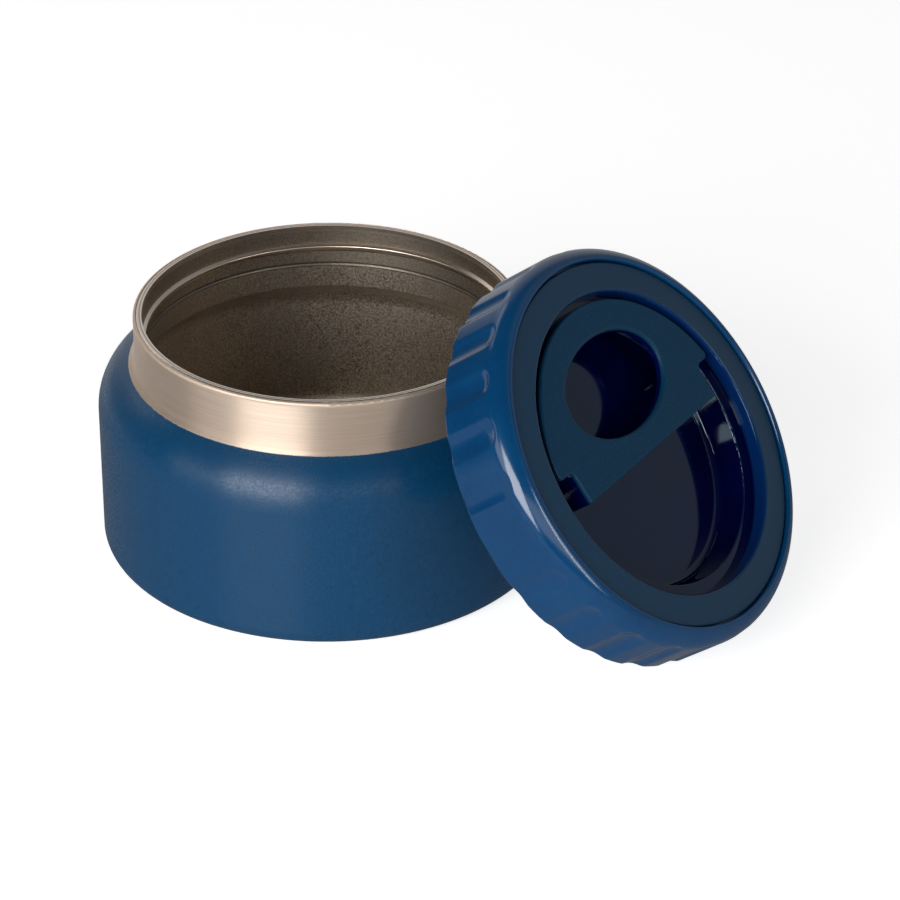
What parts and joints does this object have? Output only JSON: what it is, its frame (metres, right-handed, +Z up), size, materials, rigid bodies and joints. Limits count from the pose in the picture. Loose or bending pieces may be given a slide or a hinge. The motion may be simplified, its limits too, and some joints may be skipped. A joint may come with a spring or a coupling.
{
  "type": "insulated food jar",
  "caption": "Squat double-walled steel food jar with its screw lid taken off and leaning on the rim; the fluted lid has a fold-up carry flap with an oval finger hole.",
  "frame": {"origin": "centre of the jar's base on the table", "axes": "+Z up along the jar's axis; the lid leans on the rim towards +X and -Y, and -Y is towards the viewer"},
  "size_m": [0.1582, 0.1374, 0.0818],
  "materials": {
    "jar_shell": "satin blue coat below a bare brushed neck",
    "blasted_steel": "fine blasted",
    "bright_foil": "bright",
    "dark_tablet": "pressed powder",
    "base_steel": "satin",
    "braze": "dull",
    "cap_plastic": "glossy blue",
    "insert_plastic": "matte ring and polished pocket",
    "plug_plastic": "satin",
    "foam": "open cell",
    "gasket_rubber": "matte",
    "pin_steel": "bright drawn",
    "flap_plastic": "matte"
  },
  "bodies": {
    "jar": {"outer_shell": "jar_shell", "inner_vessel": "blasted_steel", "foil_wrap": "bright_foil", "getter": "dark_tablet", "base_plate": "base_steel", "vacuum_seal": "braze", "seal_cover": "base_steel"},
    "lid": {"lid_cap": "cap_plastic", "lid_insert": "insert_plastic", "lid_plug": "plug_plastic", "foam_puck": "foam", "lid_gasket": "gasket_rubber", "hinge_pin_left": "pin_steel", "hinge_pin_right": "pin_steel"},
    "flap": {"carry_flap": "flap_plastic"}
  },
  "joints": [
    {"name": "lid_off", "type": "slide", "parent": "jar", "child": "lid", "axis": [0.6489, -0.4351, 0.6242], "range_m": [0, 0.08]},
    {"name": "flap_hinge", "type": "hinge", "parent": "lid", "child": "flap", "pos_m": [0.06631, -0.04049, 0.0453], "axis": [0.5569, 0.8306, 0], "range_deg": [0, 95]}
  ]
}
